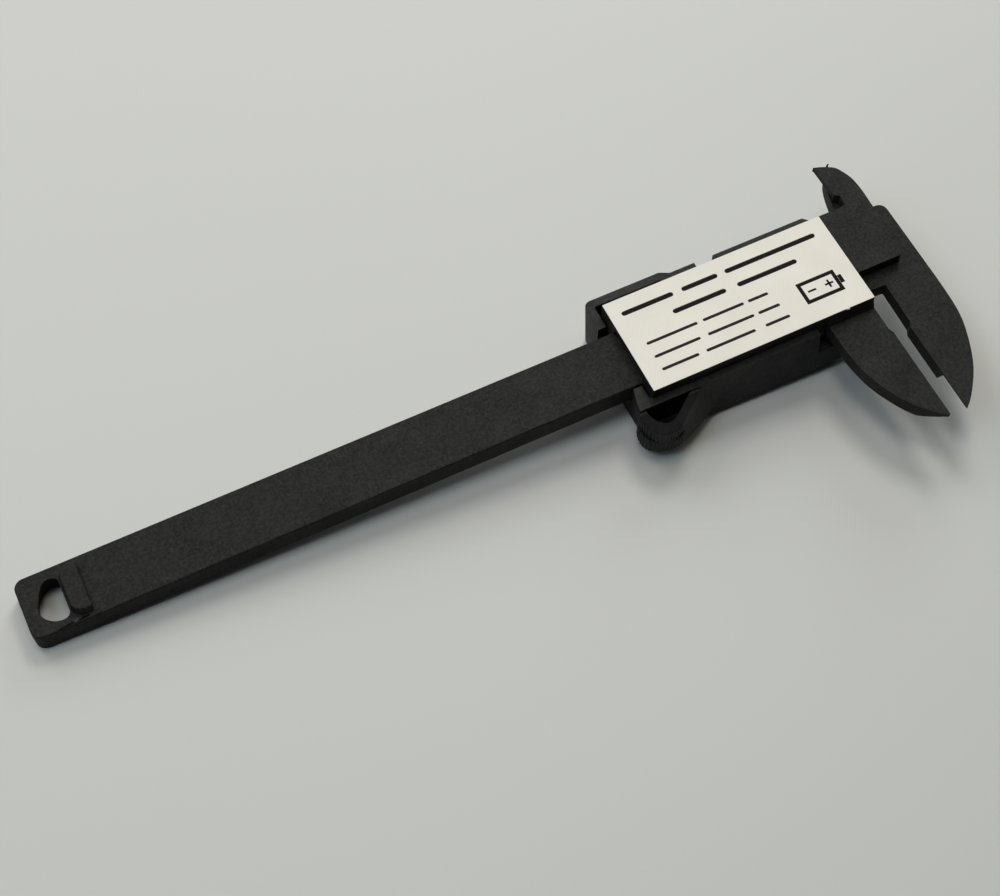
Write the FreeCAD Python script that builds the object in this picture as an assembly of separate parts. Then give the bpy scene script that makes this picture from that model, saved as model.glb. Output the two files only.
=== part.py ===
import FreeCAD, Part
import math
import os

# Digital caliper, 150 mm range, moulded fibre-filled plastic.
#
# Working frame of the numbers below: x = 0 near the fixed measuring face with
# +x towards the fixed head, y = 0 on the beam centreline with +y towards the
# inside jaws, z = 0 on the plain back face of the beam with +z away from the
# display side.  Every shape is moved by ORIGIN_SHIFT at the end, so that the
# origin of the part is the bottom centre of its bounding box.

V = FreeCAD.Vector
os.makedirs("parts", exist_ok=True)

# ------------------------------------------------------------------ sizes ---
BEAM_W = 16.0            # width of the beam
BEAM_T = 6.0             # thickness of the beam
TAIL_X = -219.57         # free end of the beam
TAIL_R = 2.5             # corner radius of the free end
FACE_X = 0.55            # fixed measuring face
OPENING = 4.5            # jaws open by this much in the rest position
FULL_RANGE = 150.0       # largest opening
JAW_T = 4.05             # thickness of the outside jaws
JAW_TIP_Y = -47.75       # tip of the outside jaws
HEAD_X = 14.2            # outer edge of the fixed head
HEAD_Y = 12.6            # upper edge of the fixed head
STOP_H = 1.8             # height of the end stop above the beam
STOP_FLAT_X = -204.8     # flat side of the end stop

RUN = 0.08               # running clearance of the slider on the beam
PLATE_T = 3.2            # top of the raised back plate of the slider
LABEL_T = 0.15           # thickness of the rear label
PX0, PX1 = -65.8, -4.4   # raised plate in x
PY0, PY1 = -12.77, 14.24 # raised plate in y
RAIL_Z = -6.2            # front end of the two rails beside the beam

FRONT_Z = -13.6          # front face of the housing, which the caliper rests on
FLOOR_T = 1.5            # thickness of the front wall
FLOOR_Z = FRONT_Z + FLOOR_T
HX0, HX1 = -68.7, -5.0   # housing in x

PCB_Z0, PCB_Z1 = -7.3, -6.3
LCD = (-62.5, -28.5, -4.5, 9.5)
BUTTON_X = (-57.0, -45.5, -34.0)
BUTTON_Y = -10.0
BUTTON_TRAVEL = 0.45
CELL = (-14.6, 1.0)      # button cell centre
CELL_R, CELL_H = 5.8, 5.4

# bottom centre of the bounding box
BOX_X = (TAIL_X + HEAD_X) / 2.0
BOX_Y = (JAW_TIP_Y + 28.1) / 2.0
ORIGIN_SHIFT = V(-BOX_X, -BOX_Y, -FRONT_Z)


# ---------------------------------------------------------------- helpers ---
def box(x0, x1, y0, y1, z0, z1):
    return Part.makeBox(x1 - x0, y1 - y0, z1 - z0, V(x0, y0, z0))


def cyl(x, y, z0, z1, r):
    return Part.makeCylinder(r, z1 - z0, V(x, y, z0))


def rounded_wire(pts, z):
    """Closed wire through corner points (x, y, r) with tangent arcs of radius r."""
    n = len(pts)
    ends = []
    for i in range(n):
        x, y, r = pts[i]
        p = V(x, y, z)
        a = V(pts[i - 1][0], pts[i - 1][1], z) - p
        b = V(pts[(i + 1) % n][0], pts[(i + 1) % n][1], z) - p
        if r <= 0:
            ends.append((p, None, p))
            continue
        a.normalize()
        b.normalize()
        half = a.getAngle(b) / 2.0
        d = r / math.tan(half)
        m = a + b
        m.normalize()
        mid = p + m * (r / math.sin(half) - r)
        ends.append((p + a * d, mid, p + b * d))
    edges = []
    for i in range(n):
        s, m, e = ends[i]
        if m is not None:
            edges.append(Part.Arc(s, m, e).toShape())
        nxt = ends[(i + 1) % n][0]
        if (nxt - e).Length > 1e-6:
            edges.append(Part.LineSegment(e, nxt).toShape())
    return Part.Wire(edges)


def rprism(pts, z0, z1):
    return Part.Face(rounded_wire(pts, z0)).extrude(V(0, 0, z1 - z0))


def rrect(x0, x1, y0, y1, r, z0, z1):
    return rprism([(x0, y0, r), (x1, y0, r), (x1, y1, r), (x0, y1, r)], z0, z1)


def path_edges(segments, z):
    """Edges from a list of segments; a segment is a list of (x, y) points,
    a straight line for two points and a smooth curve for more."""
    out = []
    for seg in segments:
        p = [V(x, y, z) for x, y in seg]
        if len(p) == 2:
            out.append(Part.LineSegment(p[0], p[1]).toShape())
        else:
            c = Part.BSplineCurve()
            c.interpolate(p)
            out.append(c.toShape())
    return out


def path_prism(segments, z0, z1):
    return Part.Face(Part.Wire(path_edges(segments, z0))).extrude(V(0, 0, z1 - z0))


def wedge_y(pts_xz, y0, y1):
    """Prism along y of a polygon given in x and z."""
    w = Part.makePolygon([V(x, y0, z) for x, z in pts_xz] + [V(pts_xz[0][0], y0, pts_xz[0][1])])
    return Part.Face(w).extrude(V(0, y1 - y0, 0))


def fillet(shape, r, pick):
    """Round the edges that pick accepts; keep the shape as it is where the
    rounding doesn't give one valid solid."""
    edges = [e for e in shape.Edges if pick(e)]
    if not edges:
        return shape
    try:
        out = shape.makeFillet(r, edges)
        if out.isValid() and len(out.Solids) == len(shape.Solids) and out.Volume > 0:
            return out
    except Exception:
        pass
    print("rounding skipped", r, len(edges))
    return shape


def at_z(z, tol=1e-3):
    def pick(e):
        b = e.BoundBox
        return abs(b.ZMin - z) < tol and abs(b.ZMax - z) < tol
    return pick


def clean(shape):
    s = shape.removeSplitter()
    return s if s.isValid() else shape


NODES = {}


def node(name, shape):
    shape = shape.copy()
    shape.translate(ORIGIN_SHIFT)
    solids = shape.Solids
    ok = shape.isValid() and all(s.Volume > 0 for s in solids)
    shape = solids[0] if len(solids) == 1 else Part.makeCompound(solids)
    NODES[name] = shape
    shape.exportStep("parts/%s.step" % name)
    b = shape.BoundBox
    print("%-26s solids %d valid %s vol %9.2f box %8.2f %8.2f | %7.2f %7.2f | %6.2f %6.2f" % (
        name, len(solids), ok, shape.Volume, b.XMin, b.XMax, b.YMin, b.YMax, b.ZMin, b.ZMax))


# --------------------------------------------------- beam and fixed jaws ---
# bar with the tail corners rounded
bar = rprism([(TAIL_X, -BEAM_W / 2, TAIL_R), (12.6, -BEAM_W / 2, 3.0),
              (12.6, BEAM_W / 2, 3.0), (TAIL_X, BEAM_W / 2, TAIL_R)], -BEAM_T, 0.0)

# fixed head with the outside jaw and the inside horn, one flat outline
head = path_prism([
    [(12.0, HEAD_Y), (7.2, HEAD_Y)],
    [(7.2, HEAD_Y), (5.4, 13.9)],
    [(5.4, 13.9), (5.4, 17.3)],
    [(5.4, 17.3), (6.55, 18.2)],
    [(6.55, 18.2), (6.55, 27.9)],
    [(6.55, 27.9), (6.2, 28.1)],
    [(6.2, 28.1), (4.9, 25.9), (3.6, 22.8), (2.5, 18.8), (1.8, 16.0), (1.3, HEAD_Y)],
    [(1.3, HEAD_Y), (1.3, 7.0)],
    [(1.3, 7.0), (-3.0, 7.0)],
    [(-3.0, 7.0), (-3.0, -8.0)],
    [(-3.0, -8.0), (-2.75, -8.0)],
    [(-2.75, -8.0), (-2.75, -8.95)],
    [(-2.75, -8.95), (1.6, -9.2)],
    [(1.6, -9.2), (1.3, -21.1)],
    [(1.3, -21.1), (FACE_X, -22.5)],
    [(FACE_X, -22.5), (FACE_X, -47.4)],
    [(FACE_X, -47.4), (0.75, JAW_TIP_Y)],
    [(0.75, JAW_TIP_Y), (2.1, -46.6), (4.7, -43.7), (7.4, -40.1), (10.05, -35.2), (12.2, -29.6),
     (13.3, -25.7), (13.95, -20.5), (HEAD_X, -12.5)],
    [(HEAD_X, -12.5), (HEAD_X, 10.4)],
    [(HEAD_X, 10.4), (13.56, 11.96), (12.0, HEAD_Y)],
], -JAW_T, 0.0)
beam = bar.fuse(head)

# knife part of the measuring edge: bevelled from the display side, past the
# thick flat part that ends at KNIFE_Y
KNIFE_Y = -36.0
KNIFE_W = 5.6            # width of the bevel
beam = beam.cut(wedge_y([(FACE_X - 1.0, -0.5), (FACE_X, -0.5), (FACE_X + KNIFE_W, -JAW_T), (FACE_X + KNIFE_W, -JAW_T - 1.0),
                         (FACE_X - 1.0, -JAW_T - 1.0)], -60.0, KNIFE_Y))
# knife edge of the inside horn, bevelled from the display side too
beam = beam.cut(wedge_y([(7.6, -0.6), (6.55, -0.6), (4.6, -JAW_T), (4.6, -JAW_T - 1.0),
                         (7.6, -JAW_T - 1.0)], 18.3, 29.0))

# hanging hole: a round hole cut straight on the side of the end stop, a little
# narrower in the last millimetre at the back face
for outline, z0, z1 in (
        ([(-209.8, -4.6), (-210.4, -5.6), (-211.9, -5.95), (-213.6, -5.35), (-215.2, -3.95), (-216.2, -2.0),
          (-216.5, 0.0), (-216.2, 2.0), (-215.2, 3.95), (-213.6, 5.25), (-211.9, 5.75), (-210.4, 5.3),
          (-209.8, 4.2)], -BEAM_T - 1.0, -1.0),
        ([(-209.8, -4.3), (-210.4, -5.35), (-211.9, -5.75), (-213.6, -5.35), (-215.15, -4.25), (-216.05, -2.7),
          (-216.25, -1.2), (-215.8, 0.3), (-214.95, 2.3), (-213.85, 4.15), (-212.3, 5.15), (-210.7, 4.95),
          (-209.8, 4.0)], -1.1, 1.0)):
    beam = beam.cut(path_prism([[outline[-1], outline[0]], outline], z0, z1))

# seats of the two pegs of the end stop
STOP_PEGS = [(-206.9, 3.4), (-206.9, -3.4)]
for px, py in STOP_PEGS:
    beam = beam.cut(cyl(px, py, -2.5, 0.5, 1.2))

# recess of the scale on the display side
STRIP = (-204.0, 8.0, -6.0, 6.0)
beam = beam.cut(rrect(STRIP[0], STRIP[1], STRIP[2], STRIP[3], 0.6, -BEAM_T - 0.5, -BEAM_T + 1.0))
beam = clean(beam)

def beam_round(e):
    b = e.BoundBox
    long_side = b.XLength > 40 and abs(abs(b.YMin) - BEAM_W / 2) < 1e-3 and b.YLength < 1e-3
    tail = b.XMax < TAIL_X + 3.0 and b.ZLength < 1e-3
    return long_side or tail

beam = fillet(beam, 0.45, beam_round)
node("beam_with_fixed_jaws", beam)

# end stop: a flat-sided mound beside the hanging hole, on two pegs
def stop_outline(g):
    return [(STOP_FLAT_X + g * 0.0, -6.1 - g, 0.5), (STOP_FLAT_X + g * 0.0, 6.1 + g, 0.5),
            (-209.2 - g * 0.5, 6.1 + g, 2.9), (-209.2 - g * 0.5, -6.1 - g, 2.9)]
stop = Part.makeLoft([rounded_wire(stop_outline(0.6), 0.0), rounded_wire(stop_outline(0.0), STOP_H)], True, True)
stop = fillet(stop, 0.4, at_z(STOP_H))
for px, py in STOP_PEGS:
    stop = stop.fuse(cyl(px, py, -2.4, 0.3, 1.2))
node("end_stop", clean(stop))

# capacitive scale in the recess, and the printed ruler film on it
strip = box(STRIP[0] + 0.1, STRIP[1] - 0.1, STRIP[2] + 0.1, STRIP[3] - 0.1, -BEAM_T + 0.2, -BEAM_T + 1.0)
node("scale_strip", strip)
film = box(STRIP[0] + 0.1, STRIP[1] - 0.1, STRIP[2] + 0.1, STRIP[3] - 0.1, -BEAM_T, -BEAM_T + 0.2)
node("scale_ruler_film", film)

# ------------------------------------------------------------ slider frame ---
MOVE_X = FACE_X - OPENING          # moving measuring face
# raised plate with the tongue that slides over the fixed head
plate = path_prism([
    [(PX0, PY0), (PX0, PY1)],
    [(PX0, PY1), (2.1, PY1)],
    [(2.1, PY1), (3.7, 14.5)],
    [(3.7, 14.5), (3.85, 17.3)],
    [(3.85, 17.3), (2.55, 18.3)],
    [(2.55, 18.3), (2.4, 27.6)],
    [(2.4, 27.6), (2.2, 28.0)],
    [(2.2, 28.0), (4.2, 27.3), (5.7, 26.6), (7.2, 25.6), (8.5, 23.4), (9.3, 21.3), (9.68, 19.0), (9.8, 15.5)],
    [(9.8, 15.5), (9.65, 11.0)],
    [(9.65, 11.0), (8.7, -3.6)],
    [(8.7, -3.6), (8.3, -4.5), (7.5, -4.7)],
    [(7.5, -4.7), (PX1, -4.7)],
    [(PX1, -4.7), (PX1, PY0)],
    [(PX1, PY0), (PX0, PY0)],
], RUN, PLATE_T)
# the tip of the inside horn is thin: bevelled from below along its knife edge
plate = plate.cut(wedge_y([(1.0, 1.7), (2.6, 1.7), (4.4, RUN), (4.4, RUN - 1.0), (1.0, RUN - 1.0)], 18.4, 29.0))

# rails beside the beam
rail_lo = box(PX0, -4.6, -12.5, -BEAM_W / 2 - RUN, RAIL_Z, RUN)
rail_hi = box(PX0, -4.6, BEAM_W / 2 + RUN, 14.0, RAIL_Z, RUN)
frame = plate.fuse([rail_lo, rail_hi])
# room for the lip of the fixed head when the jaws are closed
frame = frame.cut(box(-7.4, -4.0, -9.35, -7.9, -4.2, RUN))

# moving outside jaw
jaw = path_prism([
    [(-17.3, -10.0), (-17.3, -20.0)],
    [(-17.3, -20.0), (-17.15, -22.6), (-16.75, -26.0), (-16.1, -29.3), (-15.2, -32.4), (-13.75, -35.8),
     (-11.7, -39.7), (-10.5, -41.5), (-8.1, -44.3), (-4.35, JAW_TIP_Y + 0.05)],
    [(-4.35, JAW_TIP_Y + 0.05), (MOVE_X, -47.5)],
    [(MOVE_X, -47.5), (MOVE_X, -22.0)],
    [(MOVE_X, -22.0), (-4.5, -20.5)],
    [(-4.5, -20.5), (-4.5, -10.0)],
    [(-4.5, -10.0), (-17.3, -10.0)],
], -JAW_T, 0.0)
jaw = jaw.cut(wedge_y([(MOVE_X + 1.0, -0.5), (MOVE_X, -0.5), (MOVE_X - KNIFE_W, -JAW_T),
                       (MOVE_X - KNIFE_W, -JAW_T - 1.0), (MOVE_X + 1.0, -JAW_T - 1.0)], -60.0, KNIFE_Y))
frame = frame.fuse(jaw)
# sloping root that carries the jaw from the plate
root = Part.Face(Part.makePolygon([V(-17.3, -12.5, 0.0), V(-17.3, -13.9, 0.0), V(-17.3, -12.9, 2.6),
                                   V(-17.3, -12.5, 2.6), V(-17.3, -12.5, 0.0)])).extrude(V(12.7, 0, 0))
frame = frame.fuse(root)

# pocket under the plate where the end stop runs in at full opening
STOP_RUN_X = STOP_FLAT_X + (FULL_RANGE - OPENING) + 0.2
frame = frame.cut(box(PX0 - 1.0, STOP_RUN_X, -7.2, 7.2, -1.0, STOP_H + 0.35))

# housing screws: countersunk under the label, through the rails
HSCREW = [(-62.6, -10.4), (-62.6, 11.6), (-8.6, -10.4), (-8.6, 11.6)]
for sx, sy in HSCREW:
    frame = frame.cut(cyl(sx, sy, RAIL_Z - 1.0, PLATE_T + 1.0, 1.1))
    frame = frame.cut(Part.makeCone(1.1, 2.1, 1.2, V(sx, sy, PLATE_T - 1.4)))
    frame = frame.cut(cyl(sx, sy, PLATE_T - 0.2, PLATE_T + 1.0, 2.1))
# reliefs above the heads of the circuit board screws
BSCREW = [(-51.25, -10.3), (-47.0, 11.7), (-26.0, 11.7)]
for sx, sy in BSCREW:
    frame = frame.cut(cyl(sx, sy, RAIL_Z - 1.0, -4.9, 1.9))
frame = clean(frame)
node("slider_frame", frame)

# rear label on the whole of the raised plate
node("rear_label", rrect(PX0 + 0.15, PX1, PY0 + 0.05, PY1 - 0.05, 0.15, PLATE_T, PLATE_T + LABEL_T))

# --------------------------------------------------------- front housing ---
def rim(z):
    return rounded_wire([(HX0, -14.7, 0.6), (HX1, -14.7, 0.6), (HX1, 15.6, 0.4), (-6.9, 17.35, 0.6),
                         (-44.9, 17.35, 1.5), (-47.4, 18.6, 1.5), (HX0, 18.6, 2.0)], z)

def front(z, g):
    return rounded_wire([(HX0 + g, -16.7 + g, 0.8), (HX1 - g, -16.7 + g, 0.8), (HX1 - g, 15.3 - g, 0.6),
                         (-6.9 - g, 16.8 - g, 0.8), (-44.9 - g * 0.3, 16.8 - g, 1.5), (-47.4 - g * 0.3, 17.6 - g, 1.5),
                         (HX0 + g, 17.6 - g, 2.2)], z)

EDGE = 0.7               # bevel round the front face
shell = Part.makeLoft([rim(0.0), front(FRONT_Z + EDGE, 0.0), front(FRONT_Z, EDGE)], True, True)

# thumb lobe: a hollow grip with a step half way down its outer wall
def lobe(g):
    return [
        [(-66.0, -13.4), (-68.75, -12.0)],
        [(-68.75, -12.0), (-70.2 - g, -14.7)],
        [(-70.2 - g, -14.7), (-70.6 - g, -16.5), (-70.2 - g, -18.7), (-69.25 - g * 0.8, -20.7 - g * 0.5),
         (-67.95 - g * 0.5, -21.9 - g * 0.8), (-66.3, -22.5 - g), (-63.6 + g * 0.4, -22.3 - g),
         (-60.0 + g * 0.6, -20.1 - g * 0.7), (-56.9 + g * 0.4, -17.6 - g * 0.7), (-53.5, -14.6)],
        [(-53.5, -14.6), (-53.5, -13.4)],
        [(-53.5, -13.4), (-66.0, -13.4)],
    ]
LOBE_TOP, LOBE_STEP, LOBE_BOT = -0.7, -5.2, -10.2
lobe_a = path_prism(lobe(0.0), LOBE_STEP - 0.2, LOBE_TOP)
# the lower half of the grip is a little fuller and blunter at the nose
lobe_low = lobe(0.35)
lobe_low[2] = [(-70.55, -14.7), (-70.95, -16.5), (-70.95, -18.7), (-69.65, -20.75), (-66.9, -22.1), (-64.5, -22.55),
               (-62.3, -22.2), (-60.2, -20.4), (-56.9, -17.6), (-53.5, -14.6)]
lobe_b = path_prism(lobe_low, LOBE_BOT, LOBE_STEP)
flare = Part.Face(Part.makePolygon([V(x, y, -6.0) for x, y in (
    (-66.0, -8.4), (-68.75, -8.4), (-69.8, -12.4), (-70.2, -14.7), (-66.0, -14.7), (-66.0, -8.4))])).extrude(V(0, 0, 6.0))
# the head side of the grip runs out into the wall in a wide hollow curve
def flank(pts, z):
    return Part.Wire(path_edges([pts, [pts[-1], (pts[-1][0], -13.0)], [(pts[-1][0], -13.0), (pts[0][0], -13.0)],
                                 [(pts[0][0], -13.0), pts[0]]], z))
run_out = Part.makeLoft([
    flank([(-62.6, -21.85), (-60.1, -19.95), (-57.0, -17.45), (-54.7, -15.5), (-52.4, -14.5)], LOBE_TOP),
    flank([(-62.6, -22.3), (-59.8, -21.4), (-57.0, -20.3), (-53.5, -18.4), (-48.6, -15.9)], LOBE_BOT),
], True, True)
shell = shell.fuse([lobe_a, lobe_b, flare, run_out])

# upright ribs round the grip
RIB_R = 0.24
lobe_curve = Part.BSplineCurve()
lobe_curve.interpolate([V(x, y, 0) for x, y in lobe(0.0)[2]])
u0, u1 = lobe_curve.FirstParameter, lobe_curve.LastParameter
L = lobe_curve.length(u0, u1)
RIB_PITCH = 0.95
s = 1.2
ribs = []
while s < L * 0.57:
    u = lobe_curve.parameterAtDistance(s, u0)
    p = lobe_curve.value(u)
    ribs.append(cyl(p.x, p.y, LOBE_STEP - 0.1, LOBE_TOP - 0.35, RIB_R))
    s += RIB_PITCH
lobe_curve_b = Part.BSplineCurve()
lobe_curve_b.interpolate([V(x, y, 0) for x, y in lobe_low[2]])
u0, u1 = lobe_curve_b.FirstParameter, lobe_curve_b.LastParameter
L = lobe_curve_b.length(u0, u1)
s = 1.2
while s < L * 0.57:
    u = lobe_curve_b.parameterAtDistance(s, u0)
    p = lobe_curve_b.value(u)
    ribs.append(cyl(p.x, p.y, LOBE_BOT + 0.3, LOBE_STEP - 0.25, RIB_R))
    s += RIB_PITCH
shell = shell.fuse(ribs)

# inside of the shell
CAV = (-66.5, -6.6, -12.6, 14.35)
cav = rrect(CAV[0], CAV[1], CAV[2], CAV[3], 0.8, FLOOR_Z, 1.0)
shell = shell.cut(cav)
# the upper wall is thinner beside the wide part of the housing
shell = shell.cut(rrect(CAV[0], -47.8, 13.0, 16.5, 0.5, -5.0, 1.0))
# pocket of the thumb lobe, open to the back
pocket = path_prism([
    [(-68.6, -14.75), (-68.45, -16.4), (-67.9, -17.8), (-66.75, -19.2), (-65.0, -20.1), (-62.8, -19.4),
     (-60.4, -17.6), (-58.2, -15.9), (-56.5, -14.75)],
    [(-56.5, -14.75), (-68.6, -14.75)],
], LOBE_BOT + 1.5, 1.0)
shell = shell.cut(pocket)
# way in for the beam at the tail end, and the open head end
shell = shell.cut(box(HX0 - 2.0, CAV[0] + 0.5, -8.5, 10.1, -6.35, 1.0))
shell = shell.cut(box(CAV[1] - 0.5, HX1 + 1.0, -12.6, 14.35, -6.35, 1.0))
# notch where the moving jaw leaves the housing
shell = shell.cut(box(-20.3, HX1 + 1.0, -20.0, -12.5, -6.9, 1.0))
# break in the upper wall
shell = shell.cut(wedge_y([(-38.0, 1.0), (-38.0, -3.2), (-33.7, -3.2), (-33.7, 1.0)], 14.0, 20.0))
gap_ramp = Part.Face(Part.makePolygon([V(-33.75, 14.0, -3.2), V(-33.75, 15.9, -3.2), V(-32.6, 17.5, -3.2),
                                       V(-32.6, 20.0, -3.2), V(-33.75, 20.0, -3.2), V(-33.75, 14.0, -3.2)])).extrude(V(0, 0, 4.2))
shell = shell.cut(gap_ramp)

# posts for the housing screws and for the circuit board
for sx, sy in HSCREW:
    shell = shell.fuse(cyl(sx, sy, FLOOR_Z - 0.2, RAIL_Z, 2.1))
for sx, sy in BSCREW:
    shell = shell.fuse(cyl(sx, sy, FLOOR_Z - 0.2, PCB_Z0, 1.6))
for sx, sy in HSCREW:
    shell = shell.cut(cyl(sx, sy, -10.5, RAIL_Z + 0.5, 0.9))
for sx, sy in BSCREW:
    shell = shell.cut(cyl(sx, sy, -10.6, PCB_Z0 + 0.5, 0.6))

# battery well and the slot of its cover
COVER = (-22.6, HX1, -6.4, 8.4)
COVER_T = 1.3
well = cyl(CELL[0], CELL[1], FLOOR_Z - 0.2, -7.0, CELL_R + 1.1)
well = well.common(box(-30, CAV[1] + 0.2, -12, 14, -20, 0))
shell = shell.fuse(well)
shell = shell.cut(cyl(CELL[0], CELL[1], -14.0, -6.5, CELL_R + 0.2))
shell = shell.cut(rrect(COVER[0] - 0.2, 10.0, COVER[2] - 0.2, COVER[3] + 0.2, 1.0, FRONT_Z - 1.0, FRONT_Z + COVER_T + 0.1))
shell = shell.cut(box(COVER[0] - 0.2, 10.0, COVER[2] - 1.1, COVER[3] + 1.1, FRONT_Z + 0.6, FRONT_Z + COVER_T + 0.1))
# slots in the well for the two contacts
shell = shell.cut(box(-22.0, CELL[0] - 4.0, CELL[1] - 2.6, CELL[1] + 2.6, -7.8, -6.0))
shell = shell.cut(box(-19.0, -12.0, CELL[1] + CELL_R - 1.0, CELL[1] + CELL_R + 1.4, -11.6, -6.0))

# display window with a seat for the lens, and the button holes
LENS = (-63.6, -27.4, -5.2, 10.2)
shell = shell.cut(rrect(-61.4, -29.6, -3.2, 8.2, 0.8, FRONT_Z - 1.0, FLOOR_Z + 0.5))
shell = shell.cut(rrect(LENS[0], LENS[1], LENS[2], LENS[3], 1.2, FRONT_Z - 1.0, FRONT_Z + 0.9))
for bx in BUTTON_X:
    shell = shell.cut(cyl(bx, BUTTON_Y, FRONT_Z - 1.0, FLOOR_Z + 0.5, 3.1))
    # room for the button's flange in the foot of the wall
    shell = shell.cut(cyl(bx, BUTTON_Y, FLOOR_Z, FLOOR_Z + 1.6, 3.7))
shell = clean(shell)
node("front_housing", shell)

# ------------------------------------------------------ inside the housing ---
node("display_lens", rrect(LENS[0] + 0.1, LENS[1] - 0.1, LENS[2] + 0.1, LENS[3] - 0.1, 1.1,
                           FRONT_Z + 0.1, FRONT_Z + 0.9))
node("display_module", box(LCD[0], LCD[1], LCD[2], LCD[3], FLOOR_Z, FLOOR_Z + 2.4))
node("zebra_connector", box(-60.5, -30.5, 7.4, 9.2, FLOOR_Z + 2.4, PCB_Z0))

board = rrect(-65.9, -22.6, -12.4, 13.8, 0.8, PCB_Z0, PCB_Z1)
for sx, sy in HSCREW[:2]:
    board = board.cut(cyl(sx, sy, PCB_Z0 - 1, PCB_Z1 + 1, 2.6))
for sx, sy in BSCREW:
    board = board.cut(cyl(sx, sy, PCB_Z0 - 1, PCB_Z1 + 1, 0.95))
node("main_board", clean(board))

chip = cyl(-46.0, 2.0, PCB_Z0 - 0.5, PCB_Z0, 4.5)
chip = fillet(chip, 0.4, at_z(PCB_Z0 - 0.5))
node("controller_chip", chip)
parts = [box(x, x + w, y, y + d, PCB_Z0 - h, PCB_Z0) for x, y, w, d, h in (
    (-37.0, 3.0, 2.0, 1.25, 0.6), (-37.0, 0.5, 2.0, 1.25, 0.6), (-37.0, -2.0, 1.6, 0.8, 0.5),
    (-56.5, 3.5, 1.6, 0.8, 0.5), (-56.5, 1.5, 1.6, 0.8, 0.5), (-31.0, -1.0, 2.0, 1.25, 0.6))]
parts.append(box(-57.5, -51.0, -2.5, -0.4, PCB_Z0 - 1.6, PCB_Z0))
node("board_components", Part.makeCompound(parts))

def dome(x, y):
    ball_r = 8.0
    h = 0.4
    sph = Part.makeSphere(ball_r, V(x, y, PCB_Z0 + ball_r - h))
    return sph.common(box(x - 6, x + 6, y - 6, y + 6, PCB_Z0 - 2.0, PCB_Z0))
node("switch_domes", Part.makeCompound([dome(bx, BUTTON_Y) for bx in BUTTON_X]))

screws = []
for sx, sy in BSCREW:
    b = cyl(sx, sy, PCB_Z1, PCB_Z1 + 0.8, 1.5).fuse(cyl(sx, sy, -10.4, PCB_Z1 + 0.1, 0.6))
    b = b.cut(box(sx - 1.0, sx + 1.0, sy - 0.18, sy + 0.18, PCB_Z1 + 0.4, PCB_Z1 + 1.5))
    b = b.cut(box(sx - 0.18, sx + 0.18, sy - 1.0, sy + 1.0, PCB_Z1 + 0.4, PCB_Z1 + 1.5))
    screws.append(clean(b))
node("board_screws", Part.makeCompound(screws))

screws = []
for sx, sy in HSCREW:
    b = Part.makeCone(0.9, 1.95, 1.2, V(sx, sy, PLATE_T - 1.4)).fuse(cyl(sx, sy, PLATE_T - 0.2, PLATE_T - 0.05, 1.95))
    b = b.fuse(cyl(sx, sy, -10.3, PLATE_T - 1.3, 0.9))
    b = b.cut(box(sx - 1.2, sx + 1.2, sy - 0.22, sy + 0.22, PLATE_T - 0.8, PLATE_T + 1.0))
    b = b.cut(box(sx - 0.22, sx + 0.22, sy - 1.2, sy + 1.2, PLATE_T - 0.8, PLATE_T + 1.0))
    screws.append(clean(b))
node("housing_screws", Part.makeCompound(screws))

# button cell, standing on the cover, and its two contacts
CELL_Z0 = FRONT_Z + COVER_T + 0.25
cell = cyl(CELL[0], CELL[1], CELL_Z0, CELL_Z0 + CELL_H - 0.25, CELL_R)
cell = fillet(cell, 0.4, at_z(CELL_Z0))
cell = cell.fuse(cyl(CELL[0], CELL[1], CELL_Z0 + CELL_H - 0.35, CELL_Z0 + CELL_H, 4.6))
node("button_cell", clean(cell))
NEG_Z = CELL_Z0 + CELL_H
neg = cyl(CELL[0], CELL[1], NEG_Z, NEG_Z + 0.2, 2.4)
neg = neg.fuse(box(-21.2, CELL[0], CELL[1] - 1.5, CELL[1] + 1.5, NEG_Z, NEG_Z + 0.2))
neg = neg.fuse(box(-21.2, -21.0, CELL[1] - 1.5, CELL[1] + 1.5, PCB_Z0 - 0.2, NEG_Z + 0.2))
neg = neg.fuse(box(-25.0, -21.0, CELL[1] - 1.5, CELL[1] + 1.5, PCB_Z0 - 0.2, PCB_Z0))
node("cell_contact_negative", clean(neg))
PY = CELL[1] + CELL_R
pos = box(-17.0, -12.5, PY, PY + 0.2, -11.2, -7.3)
pos = pos.fuse(box(-17.0, -14.0, PY, PY + 2.4, PCB_Z0 - 0.2, PCB_Z0))
pos = pos.fuse(box(-25.0, -14.0, PY + 1.2, PY + 2.4, PCB_Z0 - 0.2, PCB_Z0))
node("cell_contact_positive", clean(pos))

# ------------------------------------------------------------ moved pieces ---
cover = rrect(COVER[0], COVER[1] - 0.1, COVER[2], COVER[3], 0.9, FRONT_Z, FRONT_Z + COVER_T)
cover = cover.fuse(box(COVER[0] + 1.5, COVER[1] - 0.1, COVER[2] - 0.8, COVER[3] + 0.8, FRONT_Z + 0.75, FRONT_Z + COVER_T))
for i in range(6):
    gx = COVER[1] - 2.6 - i * 1.2
    cover = cover.cut(box(gx, gx + 0.55, -3.6, 5.6, FRONT_Z - 0.5, FRONT_Z + 0.35))
node("battery_cover", clean(cover))

def button(x):
    cap = cyl(x, BUTTON_Y, FRONT_Z + 0.15, FLOOR_Z + 0.1, 2.9)
    cap = fillet(cap, 0.5, at_z(FRONT_Z + 0.15))
    b = cap.fuse(cyl(x, BUTTON_Y, FLOOR_Z + 0.05, FLOOR_Z + 0.75, 3.5))
    b = b.fuse(cyl(x, BUTTON_Y, FLOOR_Z + 0.6, PCB_Z0 - 0.4 - BUTTON_TRAVEL - 0.03, 1.3))
    return clean(b)
for name, bx in zip(("button_units", "button_power", "button_zero"), BUTTON_X):
    node(name, button(bx))

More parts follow.
